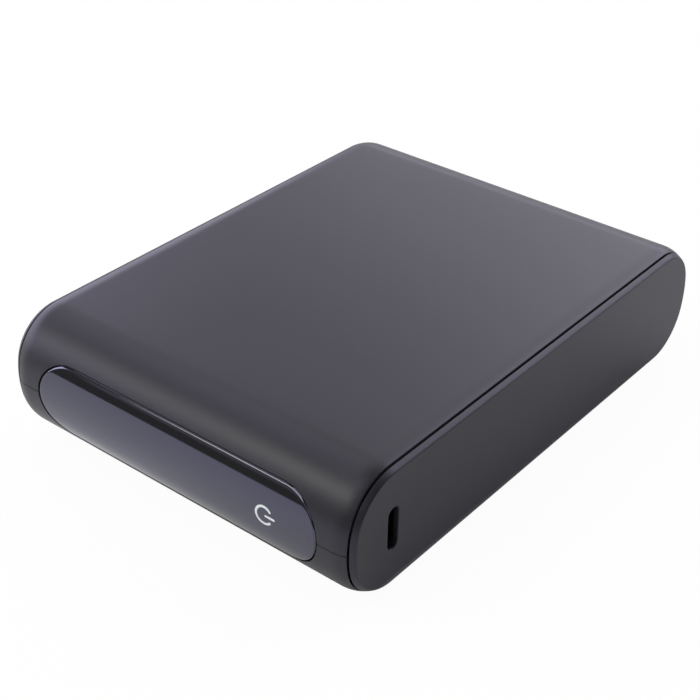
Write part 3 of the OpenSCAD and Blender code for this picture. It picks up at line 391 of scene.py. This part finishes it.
for part in frame["record"]["subparts"]:
    slots = frame["nodes"][part["node"]].data.materials
    slots.clear()
    slots.append(FINISHES[part["material_slot"]])


# Shells

SEAM = 0.075                 # half of the gap at the parting line
EDGE_R, OPEN_R = 0.12, 0.08  # round edges at grooves, seams and holes, and at the key's opening
PATCH = 4.0                  # half the side of the square that is left free for a screw hole
SPLIT_Z = 11.5               # height above the parting line where the opening's grid ends
SPLIT_U = float(up_front(SPLIT_Z))
END_SHARE = 0.6              # part of a ray from the opening that has the rows of the shell's end

# Screw posts: the counterbore and clearance hole below; the socket, pilot hole and core above
HEAD_R, SHANK_R = 2.45, 1.45
FOOT_Z, SEAT_Z, FRAME_Z, LOWER_POST_R = 2.2, 4.2, 10.9, 3.0
SOCKET_R, SOCKET_LOW, SOCKET_TOP = 2.3, 12.1, 15.7
PILOT_R, PILOT_TOP, CORE_R, CORE_LOW = 1.28, 23.2, 0.4, 24.0
ROOT_Z, UPPER_POST_R = 28.9, 3.3

# Rows and columns of the shells' skin, close together at the edges
end_steps = np.concatenate([edge_steps(EDGE_R), [0.4, 0.7, 1.0, 1.4, 1.8, 2.25]])
seam_steps = np.concatenate([edge_steps(EDGE_R), [0.6, 1.0]])
seam_end = SEAM + seam_steps[-1]
half_x = np.concatenate([SHELL_X - end_steps, spans([POST_X + PATCH, POST_X - PATCH, 0], (15, 15))])
across = np.concatenate([-half_x, half_x[-2::-1]])
flat_stops = [FRONT_Y + CORNER_IN, POST_FRONT_Y - PATCH, POST_FRONT_Y + PATCH,
              POST_BACK_Y - PATCH, POST_BACK_Y + PATCH, -FRONT_Y - CORNER_IN]
along = np.concatenate([
    np.linspace(SPLIT_U, ARC_LEN, 18)[:-1],
    flat_u(spans(flat_stops, (4, 13, 14, 13, 4))),
    np.linspace(HALF_LEN - ARC_LEN, HALF_LEN - seam_end, 36)[1:-1],
    (HALF_LEN - SEAM - seam_steps)[::-1]])


def shell_sink(x, u, gap=np.inf):
    """Depth of the shell's skin under the case skin: round edges at the end grooves, the parting
    line and, where gap is the distance from the key's opening, that opening."""
    ends = eased(SHELL_X - np.abs(x), EDGE_R)
    seams = eased(np.minimum(u, HALF_LEN - u) - SEAM, EDGE_R)
    return np.maximum(np.maximum(ends, seams), eased(gap, OPEN_R))


def opening_grid():
    """Front of a shell, from the upper half of the key's round-ended opening out to the shell's
    ends and the line SPLIT_U: straight rays in (x, length along the skin), round the opening's
    ends and upright between them. Returns x, u, the distance from the opening, and u on the inner
    wall, which is moved so that the opening runs straight to the back."""
    r = PANEL_H / 2 + PANEL_GAP
    mid = PANEL_L / 2 + PANEL_GAP - r
    side_u = np.concatenate([SEAM + seam_steps, np.linspace(seam_end, SPLIT_U, 14)[1:-1]])
    side_x = np.full(len(side_u), SHELL_X)
    out_x = np.concatenate([-side_x, across, side_x])
    out_u = np.concatenate([side_u, np.full(len(across), SPLIT_U), side_u[::-1]])
    hub = np.clip(out_x, -mid, mid)
    turn = np.arctan2(out_u, np.abs(out_x - hub))
    rise = r * np.sin(turn)
    rise = rise + (SEAM - rise[0]) * (1 - rise / r)
    in_x = hub + np.sign(out_x - hub) * np.sqrt(np.maximum(r * r - rise ** 2, 0))
    in_u = up_front(rise)
    span = np.hypot(out_x - in_x, out_u - in_u)
    near = edge_steps(OPEN_R)[:, None] / span
    rest = 1 - near[-1]
    far = 1 - end_steps[::-1, None] / span
    far = near[-1] + rest * (far - far[0]) / (1 - far[0]) * END_SHARE + rest * (1 - END_SHARE)
    core = near[-1] + (far[0] - near[-1]) * np.linspace(0, 1, 7)[1:-1, None]
    share = np.concatenate([near, core, far])
    u = in_u + share * (out_u - in_u)
    deep_u = u + (1 - share) * (up_front(rise, WALL) - in_u)
    return in_x + share * (out_x - in_x), u, share * span, deep_u


def screw_hole(x, y, half):
    """Round hole in the square left free for it: rings that run from the hole's edge out to the
    square's own points, on the skin and on the inner wall, with a bore between them."""
    reach = PATCH + 0.001    # the square with its own edge
    xs = across[np.abs(across - x) < reach]
    us = along[np.abs(along - flat_u(y)) < reach]
    run_x, run_u = np.ones(len(xs) - 1), np.ones(len(us) - 1)
    out_x = np.concatenate([xs[:-1], xs[-1] * run_u, xs[:0:-1], xs[0] * run_u])
    out_u = np.concatenate([us[0] * run_x, us[:-1], us[-1] * run_x, us[:0:-1]])
    turn = np.arctan2(out_u - flat_u(y), out_x - x)
    in_x, in_u = x + HEAD_R * np.cos(turn), flat_u(y) + HEAD_R * np.sin(turn)
    span = np.hypot(out_x - in_x, out_u - in_u)
    near = edge_steps(EDGE_R)[:, None] / span
    share = np.concatenate([near, near[-1] + (1 - near[-1]) * np.linspace(0, 1, 4)[1:, None]])
    rx, ru = in_x + share * (out_x - in_x), in_u + share * (out_u - in_u)
    outer = skin(rx, ru, eased(share * span, EDGE_R), half)
    inner = skin(rx, ru, WALL, half)
    return [sheet_of(g, around=True) for g in (outer, inner, np.stack([outer[0], inner[0]]))]


def shell_parts(half, holes):
    """Closed shell wall: the skin with its round edges, the same skin sunk by the wall, and strips
    that join them at every edge. holes are the places of its screw holes."""
    parts = []
    ox, ou, gap, deep_u = opening_grid()
    gx, gu = np.meshgrid(across, along)
    outer = skin(ox, ou, shell_sink(ox, ou, gap), half), skin(gx, gu, shell_sink(gx, gu), half)
    inner = skin(ox, deep_u, WALL, half), skin(gx, gu, WALL, half)
    centre_x = (gx[:-1, :-1] + gx[1:, 1:]).ravel() / 2
    centre_u = (gu[:-1, :-1] + gu[1:, 1:]).ravel() / 2
    solid = np.ones(len(centre_x), bool)
    for x, y in holes:
        solid &= (np.abs(centre_x - x) > PATCH) | (np.abs(centre_u - flat_u(y)) > PATCH)
    for front, rest in (outer, inner):
        points, faces = sheet_of(rest)
        parts += [sheet_of(front), (points, faces[solid])]
    edges = [[f[0], f[:, 0], f[:, -1], r[:, 0], r[:, -1], r[-1]] for f, r in (outer, inner)]
    parts += [sheet_of(np.stack(pair)) for pair in zip(*edges)]
    for x, y in holes:
        parts += screw_hole(x, y, half)
    return parts


lower_post = [(HEAD_R, FOOT_Z), (HEAD_R, SEAT_Z), (SHANK_R, SEAT_Z), (SHANK_R, FRAME_Z),
              (LOWER_POST_R, FRAME_Z), (LOWER_POST_R, FOOT_Z)]
upper_post = [(SOCKET_R, SOCKET_LOW), (SOCKET_R, SOCKET_TOP), (PILOT_R, SOCKET_TOP),
              (PILOT_R, PILOT_TOP), (CORE_R, CORE_LOW), (CORE_R, ROOT_Z),
              (UPPER_POST_R, ROOT_Z), (UPPER_POST_R, SOCKET_LOW)]
build("upper_shell_skin", shell_parts(1, []) + [ring_of(upper_post, p) for p in POSTS],
      "case", "upper_shell", "case_plastic")
build("lower_shell_skin", shell_parts(-1, POSTS) + [ring_of(lower_post, p) for p in POSTS],
      "case", "lower_shell", "case_plastic")


# Front key and its mark

KEY_EDGE_R, TUCK = 0.42, 0.02    # the key's round edge, and how far its face lies below the skin
MARK_EDGE_R, MARK_T = 0.02, 0.3
MARK_X, MARK_D, MARK_LINE = 25.3, 4.5, 0.54
MARK_BAR, MARK_START, MARK_GAP = 2.6, 0.2, math.radians(42)
ring_r = (MARK_D - MARK_LINE) / 2
ring_half = ring_r * (math.pi - MARK_GAP) + MARK_LINE / 2


def pill(half_l, half_h, e, turns, runs):
    """Loops of a round-ended bar at the distances e inside its outline, in (length, height): each
    point slides from the outline towards the bar's middle line."""
    bow = np.linspace(-math.pi / 2, math.pi / 2, 2 * turns + 1)
    out, up = half_h * np.cos(bow), half_h * np.sin(bow)
    mid = half_l - half_h
    run = np.linspace(mid, -mid, runs + 1)[1:-1]
    axis = np.concatenate([np.full(len(bow), mid), run, np.full(len(bow), -mid), run[::-1]])
    lean = np.concatenate([out, 0 * run, -out, 0 * run])
    rise = np.concatenate([up, 0 * run + half_h, -up, 0 * run - half_h])
    share = 1 - np.asarray(e)[:, None] / half_h
    return axis + share * lean, share * rise


def pill_solid(half_l, half_h, edge_r, thick, tuck, place, rows, turns, runs):
    """Round-ended bar on the front of the case: its face follows the case skin, tuck below it, with
    a round edge, a side wall straight to the back, and a back that follows the skin too. place
    bends (length, height) to (x, height)."""
    face = np.concatenate([edge_steps(edge_r, 5), np.linspace(2 * edge_r, half_h, rows)[1:]])
    back = np.linspace(0, half_h, rows)
    grids = []
    for e, sink in ((face, tuck + eased(face, edge_r)), (back, np.full(rows, tuck + thick))):
        x, z = place(*pill(half_l, half_h, e, turns, runs))
        grids.append(skin(x, up_front(z, sink[:, None]), sink[:, None]))
    return [sheet_of(g, around=True) for g in (*grids, np.stack([grids[0][0], grids[1][0]]))]


def on_front(length, height):
    """Sets a bar level, in the middle of the front."""
    return length, height


def on_ring(length, height):
    """Bends a bar round the mark's ring, which is open to the right."""
    turn = math.pi - length / ring_r
    return MARK_X + (ring_r + height) * np.cos(turn), (ring_r + height) * np.sin(turn)


def on_bar(length, height):
    """Sets a bar level, out through the ring's opening."""
    return MARK_X + MARK_START + MARK_BAR / 2 + length, height


build("front_key",
      pill_solid(PANEL_L / 2, PANEL_H / 2, KEY_EDGE_R, PANEL_T - TUCK, TUCK, on_front,
                 rows=22, turns=32, runs=24),
      "power_key", "front_panel", "gloss_key")
build("power_sign",
      pill_solid(ring_half, MARK_LINE / 2, MARK_EDGE_R, MARK_T, 0, on_ring,
                 rows=3, turns=8, runs=60)
      + pill_solid(MARK_BAR / 2, MARK_LINE / 2, MARK_EDGE_R, MARK_T, 0, on_bar,
                   rows=3, turns=8, runs=8),
      "power_key", "power_mark", "white_mark")


# End caps

COLLAR_X, COLLAR_OUT, COLLAR_T = SHELL_X - 2.9, 2.62, 1.2
RIM_R, BEVEL_R, HOLE_R = 0.14, 0.16, 0.2   # round edges at the groove, the end face and the hole
SPREAD_IN = 3.0                            # points are spread on the outline this far inside
SLOT_AT, SLOT_HALF_W, SLOT_HALF_RUN = (-51.295, 0.0), 1.6, 3.4
JACK_AT, JACK_HALF_W, JACK_HALF_H, JACK_POWER = (-22.495, 4.65), 8.2, 5.95, 40


def outline(s, k):
    """Whole section at length s round it from the front parting line, k inside the case skin:
    over the top to the back, and back underneath. Returns y and height above the parting line."""
    over = s <= HALF_LEN
    y, z, ny, nz = section(np.where(over, s, 2 * HALF_LEN - s))
    return y - k * ny, np.where(over, 1, -1) * (z - k * nz)


def slot_reach(turn, grow):
    """Distance from the slot's middle to its outline: straight sides, round ends."""
    w, mid = SLOT_HALF_W + grow, SLOT_HALF_RUN
    cy, cz = np.abs(np.cos(turn)), np.abs(np.sin(turn))
    side = w / np.maximum(cy, 1e-9)
    end = mid * cz + np.sqrt(np.maximum((mid * cz) ** 2 - mid ** 2 + w ** 2, 0))
    return np.where(side * cz <= mid, side, end)


def jack_reach(turn, grow):
    """Distance from the network socket's middle to its opening, an oblong with slightly round
    corners: the superellipse of a high power."""
    cy = np.abs(np.cos(turn)) / (JACK_HALF_W + grow)
    cz = np.abs(np.sin(turn)) / (JACK_HALF_H + grow)
    return (cy ** JACK_POWER + cz ** JACK_POWER) ** (-1 / JACK_POWER)


def cap_parts(side, hole, reach):
    """Closed end cap as one ring of profiles: from the hole out along the back, round the collar,
    over the rim with its round edges, and in across the end face to the hole again. Its points lie
    evenly along the section, and again at even angles seen from the hole, for the hole's sake."""
    ends = np.cumsum([0, FACE_LEN, ARC_LEN - FACE_LEN, FLAT_LEN, ARC_LEN - FACE_LEN, FACE_LEN])
    half = spans(ends, (9, 29, 41, 29, 9))[:-1]
    s = np.concatenate([half, HALF_LEN + half])
    y, z = outline(s, SPREAD_IN)
    seen = np.unwrap(np.arctan2(z - hole[1], y - hole[0]))
    order = np.argsort(seen)
    extra = np.interp(np.linspace(seen.min(), seen.max(), 160), seen[order], s[order])
    s = np.unique(np.round(np.concatenate([s, extra]) % (2 * HALF_LEN), 5))
    y, z = outline(s, SPREAD_IN)
    turn = np.arctan2(z - hole[1], y - hole[0])

    face = CASE_W / 2
    rim, bevel = edge_steps(RIM_R), edge_steps(BEVEL_R)
    rows = [(COLLAR_X, COLLAR_OUT + COLLAR_T), (COLLAR_X, COLLAR_OUT), (CAP_X, COLLAR_OUT)]
    rows += [(CAP_X + a, float(roll(CAP_X + a) + eased(a, RIM_R))) for a in rim]
    rows += [(x, float(roll(x))) for x in np.linspace(CAP_X + rim[-1], face - bevel[-1], 5)[1:-1]]
    rows += [(face - a, float(roll(face - a) + eased(a, BEVEL_R))) for a in bevel[::-1]]
    rows += [(face, float(roll(face)) + d) for d in (0.3, 0.5, 0.9)]
    loops = [np.stack([np.full(len(s), x), *outline(s, k)], axis=-1) for x, k in rows]
    bore = [np.stack([np.full(len(s), face - eased(a, HOLE_R)),
                      hole[0] + reach(turn, a) * np.cos(turn),
                      hole[1] + reach(turn, a) * np.sin(turn)], axis=-1)
            for a in edge_steps(HOLE_R)[::-1]]
    across_face = [loops[-1] + t * (bore[0] - loops[-1]) for t in np.linspace(0, 1, 12)[1:-1]]
    hole_back, collar_back = bore[-1].copy(), loops[0].copy()
    hole_back[:, 0] = collar_back[:, 0] = CAP_X
    grid = np.stack(loops + across_face + bore + [hole_back, collar_back, loops[0]])
    grid[:, :, 0] *= side
    grid[:, :, 2] += MID_Z
    return [sheet_of(grid, around=True)]


build("right_cap_skin", cap_parts(1, SLOT_AT, slot_reach),
      "case", "right_end_cap", "cap_plastic")
build("left_cap_skin", cap_parts(-1, JACK_AT, jack_reach),
      "case", "left_end_cap", "cap_plastic")


# Feet as (radius, height): a flat rim round a shallow dish, with a round lower edge

FOOT_X, FOOT_Y = 29.0, 43.995
foot = [(0.0, 0.3), (2.9, 0.3), (3.3, 0.12), (3.6, 0.0), (4.5, 0.0), (4.75, 0.07), (4.93, 0.25),
        (5.0, 0.5), (5.0, 1.5), (0.0, 1.5)]
build("foot_pads", [ring_of(foot, (sx * FOOT_X, sy * FOOT_Y)) for sx in (-1, 1) for sy in (-1, 1)],
      "case", "rubber_feet", "black_rubber")


# Studio, in metres: a white table, a pale surround and soft boxes

TABLE_SIDE, TABLE_FRONT, TABLE_BACK = 3, -0.206, 3
TABLE_SHARE = 0.96              # how much of the table's white is plain glow; the rest takes shadow
PAINTED_SHADOW_X, PAINTED_SHADOW_Y = 0.060, -0.005  # middle of a shadow painted on the table, which only reflections show
# inner and outer radius of that painted shadow
PAINTED_SHADOW_IN, PAINTED_SHADOW_OUT = 0.052, 0.102
SHORT = 0.005                   # a reflection this near shows the table white also there
WHITE = (1, 1, 1, 1)


def straight_rays(tree):
    """Outputs of a Light Path node, and a value that is 1 for what is seen directly or through
    something clear."""
    path = add(tree, "LightPath").outputs
    straight = add(tree, "Math", {0: path["Is Camera Ray"], 1: path["Is Transmission Ray"]},
                   operation="MAXIMUM")
    return path, straight.outputs["Value"]


def table_finish():
    """Matt white sheet that is seen as plain white, with a faint shadow. A glossy surface mirrors
    it as white too, but for a painted shadow, a soft dark spot under the right end, and from below
    the camera sees through it."""
    material, tree, matt, place = finish_of("white_table")
    matt.inputs["Base Color"].default_value = linear("#f2f2f4")
    matt.inputs["Roughness"].default_value = 0.9
    glow = add(tree, "Emission", {"Color": WHITE, "Strength": 1.0})
    path, straight = straight_rays(tree)
    seen = add(tree, "Math", {0: straight, 1: TABLE_SHARE}, operation="MULTIPLY")
    # Painted shadow: reflections show the table darker in a soft spot under the right end, where
    # the case's shadow falls
    spot = add(tree, "Mapping", {"Vector": place, "Scale": (1 / PAINTED_SHADOW_OUT,) * 3,
                                 "Location": (-PAINTED_SHADOW_X / PAINTED_SHADOW_OUT, -PAINTED_SHADOW_Y / PAINTED_SHADOW_OUT, 0)})
    fall = add(tree, "TexGradient", {"Vector": spot.outputs["Vector"]}, gradient_type="SPHERICAL")
    lit = add(tree, "MapRange", {"Value": fall.outputs["Fac"], "From Max": 1 - PAINTED_SHADOW_IN / PAINTED_SHADOW_OUT,
                                 "To Min": 1.0, "To Max": 0.0})
    near = add(tree, "Math", {0: path["Ray Length"], 1: SHORT}, operation="LESS_THAN")
    bright = add(tree, "Math", {0: near.outputs["Value"], 1: lit.outputs["Result"]},
                 operation="MAXIMUM")
    mirrored = add(tree, "Math", {0: path["Is Glossy Ray"], 1: bright.outputs["Value"]},
                   operation="MULTIPLY")
    share = add(tree, "Math", {0: seen.outputs["Value"], 1: mirrored.outputs["Value"]},
                operation="MAXIMUM")
    blend = add(tree, "MixShader", {0: share.outputs["Value"], 1: matt.outputs["BSDF"],
                                    2: glow.outputs["Emission"]})
    under = add(tree, "NewGeometry").outputs["Backfacing"]
    below = add(tree, "Math", {0: path["Is Camera Ray"], 1: under}, operation="MULTIPLY")
    sided = add(tree, "MixShader", {0: below.outputs["Value"], 1: blend.outputs["Shader"],
                                    2: add(tree, "BsdfTransparent").outputs["BSDF"]})
    tree.links.new(sided.outputs["Shader"], tree.nodes["Material Output"].inputs["Surface"])
    return material


table_mesh = bpy.data.meshes.new("table")
table_mesh.from_pydata([(-TABLE_SIDE, TABLE_FRONT, 0), (TABLE_SIDE, TABLE_FRONT, 0),
                        (TABLE_SIDE, TABLE_BACK, 0), (-TABLE_SIDE, TABLE_BACK, 0)],
                       [], [(0, 1, 2, 3)])
table_mesh.materials.append(table_finish())
table = bpy.data.objects.new("table", table_mesh)
bpy.context.scene.collection.objects.link(table)

# A surround that is white where it is seen, and gives no light
surround = bpy.data.worlds.new("studio")
bpy.context.scene.world = surround
surround.use_nodes = True
air = surround.node_tree
air.nodes.clear()
dark = add(air, "Background", {"Color": WHITE, "Strength": 0.0})
white = add(air, "Background", {"Color": WHITE, "Strength": 1.0})
blend = add(air, "MixShader", {0: straight_rays(air)[1], 1: dark.outputs["Background"],
                               2: white.outputs["Background"]})
air.links.new(blend.outputs["Shader"], add(air, "OutputWorld").inputs["Surface"])


def soft_box(name, place, aim, size, power, colour):
    """Rectangular soft box at place, turned to aim, both in metres; power in watts."""
    lamp = bpy.data.lights.new(name, "AREA")
    lamp.shape = "RECTANGLE"
    lamp.size, lamp.size_y = size
    lamp.energy = power
    lamp.color = colour
    box = bpy.data.objects.new(name, lamp)
    bpy.context.scene.collection.objects.link(box)
    box.location = place
    box.rotation_euler = (Vector(aim) - Vector(place)).to_track_quat("-Z", "Y").to_euler()


COOL, WARM, PLAIN = (0.95, 0.93, 1.12), (1.05, 1.08, 0.87), (1, 1, 1)
BLUISH, YELLOWISH = (0.99, 0.97, 1.05), (1.06, 1.08, 0.72)
PART = (0, 0, 0)
for row in (
        ("back_wall", (0, 0.90, 0.39), (0, 0, 0.39), (1.68, 0.38), 6.0, BLUISH),
        ("left_wall", (-0.90, 0, 0.39), (0, 0, 0.39), (1.68, 0.38), 6.6, COOL),
        ("left_low_wall", (-0.90, 0, 0.10), (0, 0, 0.10), (1.68, 0.20), 1.5, COOL),
        ("left_front_wall", (-0.80, -0.40, 0.25), (0, 0, 0.1), (0.6, 0.5), 0.9, PLAIN),
        ("left_strip", (-0.48, 0.06, 0.74), PART, (0.5, 0.22), 0.9, PLAIN),
        ("back_top_box", (-0.19, 0.329, 0.816), PART, (0.45, 0.45), 0.8, WARM),
        ("back_high_box", (0, 0.709, 0.554), PART, (0.7, 0.3), 1.1, PLAIN),
        ("back_right_box", (0.28, 0.575, 0.635), PART, (0.5, 0.3), 1.9, PLAIN),
        ("top_front_box", (-0.08, -0.33, 0.84), PART, (0.4, 0.4), 1.0, PLAIN),
        ("front_left_box", (-0.285, -0.628, 0.579), PART, (0.55, 0.27), 2.6, YELLOWISH),
        ("front_right_box", (0.50, -0.62, 0.52), PART, (0.5, 0.5), 0.6, PLAIN),
        ("front_low_box", (-0.20, -0.753, 0.45), PART, (0.85, 0.75), 0.6, PLAIN)):
    soft_box(*row)

bpy.context.scene.view_settings.view_transform = "Standard"
